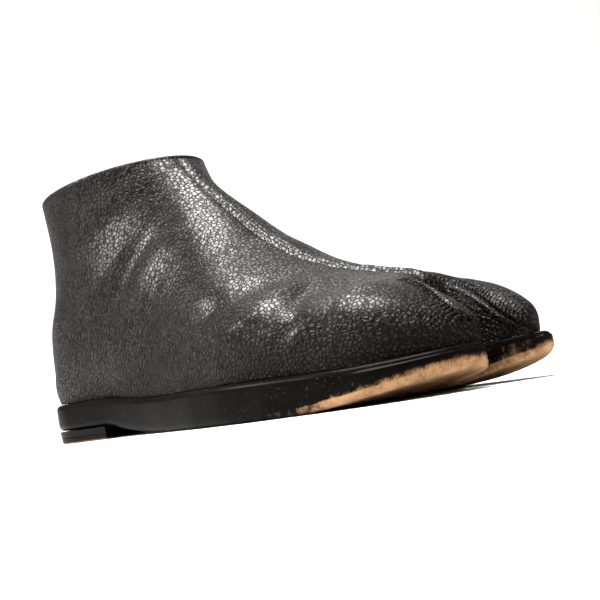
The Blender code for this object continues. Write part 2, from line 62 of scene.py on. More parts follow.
edgeTable = np.array([  # along, outer side, inner side
    [0.00, 0.92 * heelHalf, 0.92 * heelHalf], [0.12, 0.96 * heelHalf, 0.94 * heelHalf],
    [0.24, 1.04 * waist, 0.94 * waist], [0.36, 1.16 * waist, 0.88 * waist],
    [0.48, 0.85 * ball, 0.65 * ball], [0.58, 0.95 * ball, 0.84 * ball],
    [0.67, 0.99 * ball, 0.98 * ball], [0.73, 0.97 * ball, 1.00 * ball],
    [0.82, 0.89 * ball, 0.96 * ball], [0.90, 0.80 * ball, 0.89 * ball],
    [1.00, 0.66 * ball, 0.82 * ball]])
sideTable = np.array([  # along, heel rise, toe rise, body, margin
    [0.00, 1.00, 0.00, 0.87, 0.0], [0.24, 1.00, 0.00, 0.89, 0.0], [0.29, 0.62, 0.00, 0.95, 0.0],
    [0.37, 0.22, 0.00, 1.03, 0.0], [0.48, 0.00, 0.00, 1.08, 0.0], [0.62, 0.00, 0.00, 1.09, 0.0],
    [0.76, 0.00, 0.00, 1.06, 0.0], [0.85, 0.00, 0.17, 0.92, 0.2], [0.93, 0.00, 0.54, 0.73, 0.6],
    [1.00, 0.00, 1.00, 0.55, 1.0]])
ridgeTable = np.array([[0.00, 0.00], [0.18, 0.52], [0.36, 1.00], [0.52, 1.42], [0.68, 1.66],
                       [0.84, 1.84], [1.00, 2.00]])
backTable = np.array([[0.00, 0.00], [0.25, -0.45], [0.68, 1.00], [1.00, 0.70]])
sectionTable = np.array([  # base, ridge, seam, outer, inner, belly, low, top
    [-1.00, 0.000, 0.00, shaft, shaft, 0.49, 2.0, 2.0],
    [-0.74, 0.030, 0.00, 0.96 * shaft, 0.96 * shaft, 0.48, 2.0, 2.0],
    [-0.48, 0.058, 0.00, 0.96 * shaft, 0.95 * shaft, 0.46, 2.0, 2.0],
    [-0.23, 0.084, 0.00, 1.03 * heelHalf, 1.02 * heelHalf, 0.43, 2.45, 2.0],
    [0.000, 0.108, 0.00, 1.06 * heelHalf, 1.05 * heelHalf, 0.40, 2.6, 2.05],
    [0.070, 0.130, 0.00, 1.07 * heelHalf, 1.06 * heelHalf, 0.37, 2.6, 2.1],
    [0.150, 0.155, 0.00, 1.07 * heelHalf, 1.06 * heelHalf, 0.34, 2.45, 2.15],
    [0.240, 0.185, 0.00, 1.07 * heelHalf, 1.06 * heelHalf, 0.31, 2.25, 2.2],
    [0.340, 0.225, 0.00, 1.09 * heelHalf, 1.05 * heelHalf, 0.28, 2.0, 2.3],
    [0.450, 0.290, 0.02, 1.20 * waist, 1.12 * waist, 0.26, 2.0, 2.4],
    [0.570, 0.385, 0.08, 0.86 * ball, 0.80 * ball, 0.26, 2.0, 2.45],
    [0.690, 0.520, 0.24, 0.97 * ball, 0.93 * ball, 0.28, 2.0, 2.45],
    [0.815, 0.685, 0.50, 1.02 * ball, 1.04 * ball, 0.31, 2.1, 2.4],
    [0.920, 0.850, 0.80, 0.96 * ball, 1.03 * ball, 0.34, 2.1, 2.35],
    [0.982, 0.960, 1.00, 0.91 * ball, 0.99 * ball, 0.36, 2.1, 2.35],
    [1.000, 1.000, 1.00, 0.89 * ball, 0.97 * ball, 0.36, 2.1, 2.4]])


def cubic(table, column, at):
    # cubic through a table's column over its first one, with slopes that never overshoot
    knots, values = table[:, 0], table[:, column]
    step = np.diff(knots)
    slope = np.diff(values) / step
    before, after = slope[:-1], slope[1:]
    same = before * after > 0
    near, far = 2 * step[1:] + step[:-1], step[1:] + 2 * step[:-1]
    mean = (near + far) / (near / np.where(same, before, 1) + far / np.where(same, after, 1))
    tangent = np.concatenate(([slope[0]], np.where(same, mean, 0), [slope[-1]]))
    at = np.clip(np.asarray(at, float), knots[0], knots[-1])
    low = np.clip(np.searchsorted(knots, at, side="right") - 1, 0, len(step) - 1)
    width = step[low]
    s = (at - knots[low]) / width
    return ((2 * s**3 - 3 * s**2 + 1) * values[low] + (s**3 - 2 * s**2 + s) * width * tangent[low]
            + (3 * s**2 - 2 * s**3) * values[low + 1] + (s**3 - s**2) * width * tangent[low + 1])


def endRound(share):
    # superellipse: (1 - share^p)^(1/p), 1 at the start of a rounded end and 0 at its tip
    share = np.clip(share, 0, 1)
    return (1 - share ** last["endPower"]) ** (1 / last["endPower"])


def edgeSide(x, side):
    # side distance of the upper's lower edge at x, with the heel's end rounded
    along = (x - back) / (bigTip - back)
    return side * cubic(edgeTable, 1 if side < 0 else 2, along) * endRound((back + heelHalf - x) / heelHalf)


def soleBottom(x):
    along = x / last["soleLength"]
    return cubic(sideTable, 1, along) * last["heelLift"] + cubic(sideTable, 2, along) * last["toeSpring"]


def soleTop(x):
    return soleBottom(x) + cubic(sideTable, 3, x / last["soleLength"]) * last["soleAtBall"]


def ridgeHeight(x):
    # front line: from the collar down to the instep, then to the split
    fall = cubic(ridgeTable, 1, (x - last["collarReach"]) / (root - last["collarReach"]))
    upperPart = last["collarFront"] + (last["instepHeight"] - last["collarFront"]) * np.minimum(fall, 1)
    return upperPart + (last["rootHeight"] - last["instepHeight"]) * np.maximum(fall - 1, 0)


def edgeStations(count):
    # places along x from the heel's back to the split, evenly spaced along the edge
    fine = back + (root - back) * np.linspace(0, 1, 960) ** 2
    width = (edgeSide(fine, 1) - edgeSide(fine, -1)) / 2
    walked = np.concatenate(([0], np.cumsum(np.hypot(np.diff(fine), np.diff(width)))))
    return np.interp(np.linspace(0, 1, count) * walked[-1], walked, fine)


def evenRows(points, count):
    # each row of points again at even steps along its own length
    step = np.linalg.norm(np.diff(points, axis=1), axis=2)
    walked = np.concatenate((np.zeros((len(points), 1)), np.cumsum(step, axis=1)), axis=1)
    shares = np.linspace(0, 1, count)
    return np.stack([np.stack([np.interp(shares * w[-1], w, c) for c in row.T], axis=1)
                     for w, row in zip(walked, points)])


def quarter(count, power):
    # quarter of a rounded square: cos^(2/p) and sin^(2/p), one row for each power
    turn = np.linspace(0, math.pi / 2, count)[None]
    power = np.atleast_1d(power)[:, None]
    return np.cos(turn) ** (2 / power), np.sin(turn) ** (2 / power)


def lobeHalf(lobe, x, count):
    # sections of a lobe at every x, from its outer edge over the crown and down to the split
    x = np.atleast_1d(x)[:, None]
    share = np.clip((x - root) / (lobe["tip"] - root), 0, 1)
    taper = endRound((x - lobe["tip"] + lobe["round"]) / lobe["round"])
    outer = lobe["tipSide"] + (edgeSide(x, lobe["side"]) - lobe["tipSide"]) * taper
    wall = last["splitSide"] + lobe["side"] * last["splitGap"] / 2
    wall = lobe["tipSide"] + (wall - lobe["tipSide"]) * taper
    closed = 1 - np.minimum(share * (lobe["tip"] - root) / last["splitFoot"], 1)
    foot = wall - lobe["side"] * (1 - np.sqrt(1 - closed**2)) * last["splitGap"] / 2
    nose = (1 - share ** last["nosePower"]) ** (1 / last["nosePower"])
    height = last["tipHeight"] + (lobe["crown"] * (1 - last["noseFall"] * share) - last["tipHeight"]) * nose
    crown = outer + last["crownShare"] * (wall - outer)
    bulge = outer + lobe["side"] * last["lobeBulge"] * taper
    run, rise = quarter(60, last["lobeLow"])
    belly = last["lobeBelly"]
    low = np.stack(np.broadcast_arrays(outer + (bulge - outer) * rise, height * belly * (1 - run)), 2)
    run, rise = quarter(60, last["lobeTop"])
    shoulder = height * (belly + (1 - belly) * rise)
    high = np.stack(np.broadcast_arrays(crown + (bulge - crown) * run, shoulder), 2)
    inner = np.stack(np.broadcast_arrays(crown + (wall - crown) * run, shoulder), 2)
    closing = np.minimum(last["splitFoot"], height * belly)
    run, rise = quarter(60, 2)
    bottom = np.stack(np.broadcast_arrays(foot + (wall - foot) * rise, closing * (1 - run)), 2)
    outside = evenRows(np.concatenate((low, high[:, 1:]), axis=1), count)
    inside = evenRows(np.concatenate((bottom, inner), axis=1)[:, ::-1], count)
    flat = np.concatenate((outside, inside[:, 1:]), axis=1)
    base = soleTop(x) + last["clearance"]
    return np.stack(np.broadcast_arrays(x, flat[:, :, 0], base + flat[:, :, 1]), axis=2)


def shareBefore(x, run):
    return np.clip((x - root + run) / run, 0, 1)


def bodyGrid(rows, count):
    # rings from the collar to the split; each runs from the outer edge over the ridge to the inner edge
    numbers = np.arange(len(sectionTable), dtype=float)
    numbered = np.column_stack((numbers, sectionTable))
    base, ridgeShare, seam, outer, inner, belly, low, top = (cubic(numbered, k + 1, rows) for k in range(8))
    floor = soleTop(np.array(back)) + last["clearance"]
    stations = edgeStations(24)
    onEdge = np.interp(base, np.linspace(0, 1, 24), stations)
    baseX = np.where(base < 0, back + last["backHollow"] * cubic(backTable, 1, -base), onEdge)
    onSole = soleTop(onEdge) + last["clearance"]
    baseZ = np.where(base < 0, floor - (last["collarBack"] - floor) * base, onSole)
    ridgeX = last["collarReach"] + (root - last["collarReach"]) * ridgeShare
    ridgeZ = ridgeHeight(ridgeX)
    halves = []
    for side, widest in ((-1, outer), (1, inner)):
        baseSide = np.where(rows > 4, edgeSide(baseX, side), 0.0)[:, None]
        run, rise = quarter(60, low)
        lowUp = belly[:, None] * (1 - run)
        lowSide = side * np.sqrt(baseSide**2 + (widest[:, None] ** 2 - baseSide**2) * rise**2)
        run, rise = quarter(60, top)
        topUp = belly[:, None] + (1 - belly[:, None]) * rise
        ridgeSide = (seam * last["splitSide"])[:, None]
        topSide = ridgeSide + (side * widest[:, None] - ridgeSide) * run
        up = np.concatenate((lowUp, topUp[:, 1:]), axis=1)
        y = np.concatenate((lowSide, topSide[:, 1:]), axis=1)
        x = baseX[:, None] + (ridgeX - baseX)[:, None] * up
        z = baseZ[:, None] + (ridgeZ - baseZ)[:, None] * up
        half = evenRows(np.stack((x, y, z), axis=2), 2 * count - 1)
        near = shareBefore(baseX, last["shoulderRun"])[:, None, None]
        shoulder = near * near * (3 - 2 * near)
        sunk = shareBefore(baseX, last["valleyRun"])[:, None, None]
        depth = 1 - np.sqrt(1 - sunk * sunk)
        target = lobeHalf(lobes[side], baseX, count)
        crown = count - 1
        shift = (target[:, crown:crown + 1] - half[:, crown:crown + 1]) * shoulder
        first = half[:, :crown] + (target[:, :crown] - half[:, :crown]) * shoulder
        second = half[:, crown:] + shift * np.linspace(1, 0, count)[None, :, None]
        second = second + (target[:, crown:] - second) * depth
        halves.append(np.concatenate((first, second), axis=1))
    return halves, baseX


def gridFaces(rows, columns, start=0, closed=False):
    # quads over a grid of rows and columns, numbered from start
    r, c = np.meshgrid(np.arange(rows - 1), np.arange(columns - (0 if closed else 1)), indexing="ij")
    n = (c + 1) % columns
    return np.stack((r * columns + c, (r + 1) * columns + c, (r + 1) * columns + n, r * columns + n),
                    axis=2).reshape(-1, 4) + start


def weld(points, faces, extra):
    # joins points that fall together; a quad with two equal corners becomes a triangle later
    _, first, place = np.unique(np.round(points / 2e-6).astype(np.int64), axis=0,
                                return_index=True, return_inverse=True)
    return points[first], place.reshape(-1)[faces], [e[first] for e in extra]


def vertexNormals(points, faces):
    # sum of the normals of the faces round each point
    a, b = points[faces[:, 2]] - points[faces[:, 0]], points[faces[:, 3]] - points[faces[:, 1]]
    flat = np.cross(a, b)
    total = np.zeros_like(points)
    for k in range(4):
        np.add.at(total, faces[:, k], flat)
    return total / np.maximum(np.linalg.norm(total, axis=1), 1e-12)[:, None]


def edgePairs(faces):
    # the two ends of each side of each face; welded corners leave no side
    pairs = np.concatenate([faces[:, [k, (k + 1) % 4]] for k in range(4)])
    return pairs[pairs[:, 0] != pairs[:, 1]]


def relax(points, faces, turns, pull):
    # moves each point towards the mean of its neighbours by its pull, several times
    pairs = np.unique(np.sort(edgePairs(faces), axis=1), axis=0)
    count = np.bincount(pairs.reshape(-1), minlength=len(points))[:, None]
    for _ in range(turns):
        total = np.zeros_like(points)
        np.add.at(total, pairs[:, 0], points[pairs[:, 1]])
        np.add.at(total, pairs[:, 1], points[pairs[:, 0]])
        points = points + pull[:, None] * (total / count - points)
    return points


def rimPoints(count, faces):
    # points on an open edge of the mesh
    pairs, times = np.unique(np.sort(edgePairs(faces), axis=1), axis=0, return_counts=True)
    held = np.zeros(count, bool)
    held[pairs[times == 1].reshape(-1)] = True
    return held


def makeMesh(name, points, faces, material, extra=None):
    # puts arrays into a mesh, moved to the frame's origin; extra attributes go on its points
    points = points - np.array([last["heelBack"], 0, 0])
    if not isinstance(faces, list):
        faces = [tuple(dict.fromkeys(f)) for f in np.asarray(faces).tolist()]
    mesh = bpy.data.meshes.new(name)
    mesh.from_pydata(points, [], [f for f in faces if len(f) > 2])
    for key, values in (extra or {}).items():
        mesh.attributes.new(key, "FLOAT", "POINT").data.foreach_set("value", np.asarray(values, np.float32))
    mesh.update()
    mesh.materials.append(material)
    mesh.shade_smooth()
    piece = bpy.data.objects.new(name, mesh)
    bpy.context.scene.collection.objects.link(piece)
    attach(piece, "root")
    return piece


def pathDistance(points, path):
    # distance from each point to a line through a few places, and the share of the way along it
    path = np.asarray(path, float)
    a, ab = path[:-1], np.diff(path, axis=0)
    t = np.clip(((points[:, None] - a) * ab).sum(2) / (ab**2).sum(1), 0, 1)
    gap = np.linalg.norm(points[:, None] - a - t[:, :, None] * ab, axis=2)
    k = gap.argmin(axis=1)
    rows = np.arange(len(points))
    return gap[rows, k], (k + t[rows, k]) / len(ab)


class Wire:
    # a socket that takes part in sums; numbers stay numbers
    def __init__(self, tree, socket):
        self.tree, self.socket = tree, socket

    def math(self, operation, *others):
        return Paint(self.tree).node("ShaderNodeMath", {"operation": operation}, [self, *others])

    def __add__(self, o): return self.math("ADD", o)
    __radd__ = __add__
    def __mul__(self, o): return self.math("MULTIPLY", o)
    __rmul__ = __mul__
    def __sub__(self, o): return self.math("SUBTRACT", o)
    def __rsub__(self, o): return (self * -1) + o

    def step(self, start, end):
        # 0 at start, 1 at end, soft between
        return Paint(self.tree).node("ShaderNodeMapRange", {"interpolation_type": "SMOOTHSTEP"},
                                     {"Value": self, "From Min": start, "From Max": end})


class Paint:
    def __init__(self, tree):
        self.tree = tree

    def node(self, kind, settings=None, inputs=None, out=0):
        made = self.tree.nodes.new(kind)
        for key, value in (settings or {}).items():
            setattr(made, key, value)
        pairs = inputs.items() if isinstance(inputs, dict) else enumerate(inputs or [])
        for key, value in pairs:
            if isinstance(value, Wire):
                self.tree.links.new(value.socket, made.inputs[key])
            else:
                made.inputs[key].default_value = value
        return Wire(self.tree, made.outputs[out])

    def noise(self, place, scale, detail=3.0, rough=0.55, out=0):
        # output 0 is one value, output 1 three
        return self.node("ShaderNodeTexNoise", {}, {"Vector": place, "Scale": scale, "Detail": detail,
                                                    "Roughness": rough}, out)

    def cells(self, place, scale):
        # distance to the nearest border between cells
        return self.node("ShaderNodeTexVoronoi", {"feature": "DISTANCE_TO_EDGE"},
                         {"Vector": place, "Scale": scale, "Randomness": 1.0})

    def mix(self, share, first, second):
        made = self.tree.nodes.new("ShaderNodeMix")
        made.data_type = "RGBA"
        for key, value in ((0, share), (6, first), (7, second)):
            if isinstance(value, Wire):
                self.tree.links.new(value.socket, made.inputs[key])
            else:
                made.inputs[key].default_value = (*value, 1) if key else value
        return Wire(self.tree, made.outputs[2])

    def along(self, place, factors):
        # place stretched by three factors
        return self.node("ShaderNodeVectorMath", {"operation": "MULTIPLY"}, [place, factors])


def newMaterial(name, constants):
    material = bpy.data.materials.new(name)
    material.use_nodes = True
    tree = material.node_tree
    shader = tree.nodes["Principled BSDF"]
    for key, value in constants.items():
        shader.inputs[key].default_value = value
    paint = Paint(tree)
    return material, paint, shader, paint.node("ShaderNodeTexCoord", out=3)


def feed(paint, shader, wires):
    for key, wire in wires.items():
        paint.tree.links.new(wire.socket, shader.inputs[key])


def bump(paint, height, distance, strength=1.0, normal=None):
    inputs = {"Height": height, "Distance": distance, "Strength": strength}
    if normal is not None:
        inputs["Normal"] = normal
    return paint.node("ShaderNodeBump", {}, inputs)


# Black pebbled leather
leatherLook = {
    "dark": (0.0016, 0.0012, 0.0010), "light": (0.0150, 0.0104, 0.0084), "rust": (0.030, 0.013, 0.007),
    "pebble": 540.0, "fineGrain": 1700.0, "pebbleDepth": 0.00105, "fineDepth": 0.00006,
    "roughness": 0.37, "feather": 0.016,
}


def blackLeather(name, look):
    # pebbles with cracks coloured dark as painted shade and tops coloured lighter, finer grain over them,
    # duller and rust-flecked near the sole
    material, paint, shader, place = newMaterial(name, {"Specular IOR Level": 0.05, "Coat Roughness": 0.33})
    shift = paint.noise(place, 240.0, 2.0, out=1)
    shift = paint.node("ShaderNodeVectorMath", {"operation": "SCALE"}, {0: shift, "Scale": 0.0007})
    warped = paint.node("ShaderNodeVectorMath", {"operation": "ADD"}, [place, shift])
    border = paint.cells(warped, look["pebble"])
    dome = border.step(0.0, 0.42)
    dome = dome * (2 - dome)
    fineBorder = paint.cells(warped, look["fineGrain"])
    fine = fineBorder.step(0.0, 0.35)
    broad = paint.noise(place, 26.0, 3.0)
    patch = paint.noise(place, 75.0, 3.0)
    depth = broad.step(0.30, 0.68) * 0.35 + 0.75
    height = dome * depth + paint.noise(place, 420.0, 2.0) * 0.12
    worn = patch.step(0.42, 0.72)
    speck = paint.noise(place, 900.0, 2.0).step(0.60, 0.72)
    lift = paint.node("ShaderNodeSeparateXYZ", {}, [place], 2)
    low = 1 - lift.step(look["feather"], look["feather"] + 0.016)
    shine = lift.step(look["feather"], look["feather"] + 0.032) * 0.84 + 0.16
    # colour: pebble tops lighter and the cracks between them darker, which is painted shade in the cracks;
    # tops lighter still on worn patches, which is wear
    colour = paint.mix(dome * (worn * 0.5 + 0.5), look["dark"], look["light"])
    colour = paint.mix(speck * low * 0.65, colour, look["rust"])
    rough = look["roughness"] + paint.noise(place, 130.0, 4.0) * 0.13 - dome * 0.05 + low * 0.14
    normal = bump(paint, height, look["pebbleDepth"])
    normal = bump(paint, fine, look["fineDepth"], 0.8, normal)
    feed(paint, shader, {"Base Color": colour, "Roughness": rough, "Normal": normal,
                         "Coat Weight": (worn * 0.18 + 0.34) * dome * shine})
    return material


leather = blackLeather("pebbledLeather", leatherLook)
print("leather made")

# Upper: creases in metres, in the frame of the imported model, seen first from the outer side
upperPiece = {
    "rowsPerSection": 16, "quarterColumns": 44, "lobeRows": 130, "smoothing": 14,
    "seamHalf": 0.0014, "seamRise": 0.0016, "seamGroove": 0.00100, "puckerPitch": 0.0034,
    "gussetSeam": 0.22, "seamTurn": {-1: -0.34, 1: 0.55},
    "seamFade": 0.005, "grooveAt": 0.0026, "grooveHalf": 0.0009,
    "puckerRise": 0.00014, "puckerAt": 0.0026, "puckerHalf": 0.0016,
    "stitchDepth": 0.00100, "stitchHalf": 0.00050, "beadRise": 0.0005, "beadAt": 0.0014, "beadHalf": 0.0011,
    "gatherPitch": 0.0018, "gatherDepth": 0.00075, "gatherReach": 0.0030,
    "stripWidth": 0.0032, "stripRise": 0.0008, "soleFade": 0.006,
    "foldDepth": 0.0035, "foldExtra": 0.0004,
    "creases": [  # path, half width, depth (a ridge is below zero)
        ([(0.164, -0.008, 0.058), (0.157, -0.029, 0.054), (0.147, -0.041, 0.049), (0.134, -0.045, 0.044),
          (0.114, -0.044, 0.041)], 0.0080, 0.0026),
        ([(0.170, -0.026, 0.050), (0.172, -0.038, 0.045), (0.167, -0.046, 0.039), (0.158, -0.049, 0.035),
          (0.146, -0.050, 0.025)], 0.0050, -0.0013),
        ([(0.172, -0.016, 0.053), (0.182, -0.033, 0.044), (0.189, -0.043, 0.036), (0.186, -0.047, 0.030)],
         0.0042, 0.0016),
        ([(0.142, -0.046, 0.036), (0.150, -0.048, 0.032), (0.153, -0.049, 0.026)], 0.0040, 0.0009),
        ([(0.196, -0.016, 0.047), (0.203, -0.034, 0.036), (0.204, -0.042, 0.028)], 0.0035, 0.0006),
        ([(0.168, 0.016, 0.055), (0.165, 0.033, 0.046), (0.156, 0.045, 0.037), (0.146, 0.048, 0.028)],
         0.0070, 0.0020),
        ([(0.178, 0.020, 0.052), (0.181, 0.036, 0.042), (0.178, 0.047, 0.032)], 0.0045, 0.0011),
        ([(0.176, 0.010, 0.053), (0.176, 0.034, 0.045), (0.170, 0.046, 0.035)], 0.0040, -0.0007),
        ([(0.082, -0.022, 0.090), (0.062, -0.034, 0.070), (0.046, -0.035, 0.052)], 0.0070, 0.0017),
        ([(0.074, -0.026, 0.097), (0.052, -0.034, 0.080), (0.034, -0.035, 0.066)], 0.0060, -0.0010),
        ([(0.098, -0.022, 0.078), (0.086, -0.034, 0.060), (0.076, -0.036, 0.044)], 0.0065, 0.0011),
        ([(0.082, 0.022, 0.088), (0.062, 0.033, 0.070), (0.048, 0.035, 0.054)], 0.0070, 0.0015),
        ([(0.072, 0.026, 0.096), (0.050, 0.033, 0.080), (0.034, 0.034, 0.064)], 0.0060, -0.0009),
        ([(-0.026, -0.012, 0.078), (-0.022, -0.020, 0.070), (-0.010, -0.028, 0.066)], 0.0050, 0.0008),
        ([(-0.026, 0.010, 0.074), (-0.021, 0.020, 0.067), (-0.008, 0.028, 0.064)], 0.0050, 0.0008),
    ],
    "swells": [  # centre, radius, rise
        ((0.222, -0.028, 0.036), 0.017, 0.0012), ((0.110, 0.012, 0.088), 0.022, 0.0014),
        ((0.135, 0.016, 0.072), 0.020, 0.0018), ((0.085, -0.030, 0.075), 0.020, 0.0010),
        ((0.226, 0.036, 0.036), 0.013, 0.0006),
    ],
}


def upperGrids(rowsPerSection, count, lobeRows):
    # the body's grid and one for each lobe, each with its distance from the seam and way along it
    piece = upperPiece
    rows = np.linspace(0, len(sectionTable) - 1, (len(sectionTable) - 1) * rowsPerSection + 1)
    halves, baseX = bodyGrid(rows, count)
    sunk = shareBefore(baseX, last["valleyRun"])
    crown = count - 1
    onLobe = crown * (1 + piece["gussetSeam"])
    seamColumn = onLobe + (2 * crown - onLobe) * np.sqrt(np.clip(1 - sunk**2, 0, 1))
    shares = (1 - np.cos(np.linspace(0, math.pi, lobeRows + 1)[1:])) / 2
    shares = 0.45 * shares + 0.55 * np.linspace(0, 1, lobeRows + 1)[1:]
    parts = []
    for k, side in enumerate((-1, 1)):
        lobe = lobes[side]
        grid = lobeHalf(lobe, root + (lobe["tip"] - root) * shares, count)
        grid[-1] = (grid[-1] + grid[-1][::-1]) / 2
        whole = np.concatenate((halves[k], grid))
        column = np.concatenate((seamColumn, onLobe + crown * piece["seamTurn"][side] * shares**2))
        step = np.linalg.norm(np.diff(whole, axis=1), axis=2)
        walked = np.concatenate((np.zeros((len(whole), 1)), np.cumsum(step, axis=1)), axis=1)
        index = np.arange(2 * count - 1)
        here = np.array([np.interp(c, index, w) for c, w in zip(column, walked)])
        off = here[:, None] - walked  # above zero on the vamp, below zero on the gusset
        spot = np.stack([[np.interp(c, index, v) for v in row.T] for c, row in zip(column, whole)])
        way = np.concatenate(([0], np.cumsum(np.linalg.norm(np.diff(spot, axis=0), axis=1))))
        inLobe = np.concatenate((shareBefore(baseX, 0.012), np.ones(lobeRows)))
        parts.append((whole, off, way[:, None] + 0 * off, inLobe[:, None] + 0 * off))
    return parts


def upperSkin(rowsPerSection, count, lobeRows, smoothing):
    parts = upperGrids(rowsPerSection, count, lobeRows)
    points, faces, extras, start = [], [], [], 0
    for k, (grid, off, way, inLobe) in enumerate(parts):
        made = gridFaces(*grid.shape[:2], start)
        faces.append(made if k == 0 else made[:, ::-1])
        points.append(grid.reshape(-1, 3))
        extras.append(np.stack((off, way, inLobe), axis=2).reshape(-1, 3))
        start += len(points[-1])
    points, faces, (extra,) = weld(np.concatenate(points), np.concatenate(faces), [np.concatenate(extras)])
    held = rimPoints(len(points), faces)
    points = relax(points, faces, smoothing, np.where(held, 0, 0.5))
    nearRoot = np.exp(-((points[:, 0] - root + 0.002) / 0.011) ** 4) * np.clip(extra[:, 0] / 0.004, 0.0, 1)
    points = relax(points, faces, smoothing * 7, np.where(held, 0, 0.5 * nearRoot))
    return points, faces, extra, held


def dressUpper(points, extra):
    # height above the plain skin: creases, swells, the front seam with its puckers and the gathers
    piece = upperPiece
    packed = points - np.array([last["heelBack"], 0, 0])
    rise = np.zeros(len(points))
    for path, width, depth in piece["creases"]:
        gap, share = pathDistance(packed, path)
        fade = np.sin(math.pi * np.clip(0.12 + 0.76 * share, 0, 1)) ** 0.7
        rise -= depth * fade * np.exp(-(gap / width) ** 2)
    for centre, radius, amount in piece["swells"]:
        rise += amount * np.exp(-(np.linalg.norm(packed - np.array(centre), axis=1) / radius) ** 2)
    off, way, inLobe = extra.T
    front = (1 - inLobe) * np.clip(way / piece["seamFade"], 0, 1)
    rise += front * piece["seamRise"] * np.exp(-(off / piece["seamHalf"]) ** 2)
    groove = np.exp(-((np.abs(off) - piece["grooveAt"]) / piece["grooveHalf"]) ** 2)
    rise -= front * piece["seamGroove"] * groove
    wave = np.cos(2 * math.pi * way / piece["puckerPitch"])
    pucker = np.exp(-((np.abs(off) - piece["puckerAt"]) / piece["puckerHalf"]) ** 2)
    rise += front * piece["puckerRise"] * wave * pucker
    rise -= inLobe * piece["stitchDepth"] * np.exp(-(off / piece["stitchHalf"]) ** 2)
    wave = np.cos(2 * math.pi * way / piece["gatherPitch"])
    reach = np.exp(-np.maximum(off, 0) / piece["gatherReach"]) * (1 - np.exp(-(off / 0.0004) ** 2))
    rise += inLobe * piece["gatherDepth"] * wave * reach * (off > 0)
    rise += inLobe * piece["beadRise"] * np.exp(-((off - piece["beadAt"]) / piece["beadHalf"]) ** 2)
    strip = np.clip(-off / piece["stripWidth"], 0, 1)
    rise += inLobe * piece["stripRise"] * np.sin(math.pi * strip) ** 0.8
    keep = np.clip((packed[:, 2] - (soleTop(points[:, 0]) + last["clearance"])) / piece["soleFade"], 0, 1)
    return rise * keep * keep * (3 - 2 * keep)


def dressedSkin(piece):
    # the skin with its normals outwards and its creases on, and the normals from before the creases
    points, faces, extra, held = upperSkin(piece["rowsPerSection"], piece["quarterColumns"],
                                           piece["lobeRows"], piece["smoothing"])
    normals = vertexNormals(points, faces)
    if (normals[:, 1] * points[:, 1]).sum() < 0:
        faces, normals = faces[:, ::-1], -normals
    return points + normals * dressUpper(points, extra)[:, None], faces, normals, held


def makeUpper():
    piece = upperPiece
    points, faces, _, held = dressedSkin(piece)
    # collar: the rim turns over in a half round and runs down inside as a folded edge
    collar = np.flatnonzero(held & (points[:, 2] > last["instepHeight"]))
    middle = points[collar].mean(axis=0)
    order = collar[np.argsort(np.arctan2(points[collar, 1] - middle[1], points[collar, 0] - middle[0]))]
    rim = points[order]
    tangent = np.roll(rim, -1, axis=0) - np.roll(rim, 1, axis=0)
    tangent /= np.linalg.norm(tangent, axis=1)[:, None]
    up = np.array([0.0, 0.0, 1.0])
    inward = np.cross(up, tangent)
    inward /= np.linalg.norm(inward, axis=1)[:, None]
    thick = last["wall"] + piece["foldExtra"]
    turn = np.linspace(0, math.pi, 11)[1:]
    arc = [rim + inward * thick / 2 * (1 - math.cos(t)) + up * thick / 2 * math.sin(t) for t in turn]
    slide = np.linspace(0, 1, 9)[1:]
    down = [arc[-1] - up * piece["foldDepth"] * s + inward * piece["foldExtra"] * s for s in slide]
    fold = np.array([rim, *arc, *down])
    made = gridFaces(len(fold), len(rim), len(points), closed=True)[:, ::-1]
    points = np.concatenate((points, fold.reshape(-1, 3)))
    faces = np.concatenate((faces, made))
    points, faces, _ = weld(points, faces, [])
    return makeMesh("upperLeather", points, faces, leather)


upper = makeUpper()
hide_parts("upper")
print("upper made", len(upper.data.polygons))

# Lining: smooth tan leather inside the upper
liningPiece = {"inset": 0.0019, "thickness": 0.0003, "rimDrop": 0.0006, "smoothing": 2,
               "rowsPerSection": 5, "quarterColumns": 14, "lobeRows": 24}


def tanLeather(name, dark, light, roughness):
    material, paint, shader, place = newMaterial(name, {"Specular IOR Level": 0.35})
    cloud = paint.noise(place, 60.0, 5.0)
    pores = paint.noise(place, 1500.0, 2.0)
    streak = paint.noise(paint.along(place, (90.0, 600.0, 600.0)), 1.0, 3.0)
    colour = paint.mix(cloud.step(0.3, 0.7) * 0.7 + streak * 0.3, dark, light)
    normal = bump(paint, pores + cloud, 0.00008)
    feed(paint, shader, {"Base Color": colour, "Roughness": roughness + cloud * 0.15, "Normal": normal})
    return material


liningLeather = tanLeather("tanLining", (0.20, 0.125, 0.070), (0.36, 0.245, 0.150), 0.5)


def makeLining():
    # two shells a little apart, joined round their open edges
    piece = liningPiece
    points, faces, normals, held = dressedSkin(piece)
    atCollar = held & (points[:, 2] > last["instepHeight"])
    shells = []
    for inset in (piece["inset"], piece["inset"] + piece["thickness"]):
        shell = points - normals * inset
        shell[:, 2] = np.where(atCollar, points[:, 2] - piece["rimDrop"], shell[:, 2])
        shells.append(shell)
    pairs = edgePairs(faces)
    _, first, times = np.unique(np.sort(pairs, axis=1), axis=0, return_index=True, return_counts=True)
    rim = pairs[first[times == 1]]
    count = len(points)
    strip = np.stack((rim[:, 1], rim[:, 0], rim[:, 0] + count, rim[:, 1] + count), axis=1)
    both = np.concatenate((faces, faces[:, ::-1] + count, strip))
    return makeMesh("lining", np.concatenate(shells), both, liningLeather)


lining = makeLining()
print("lining made")


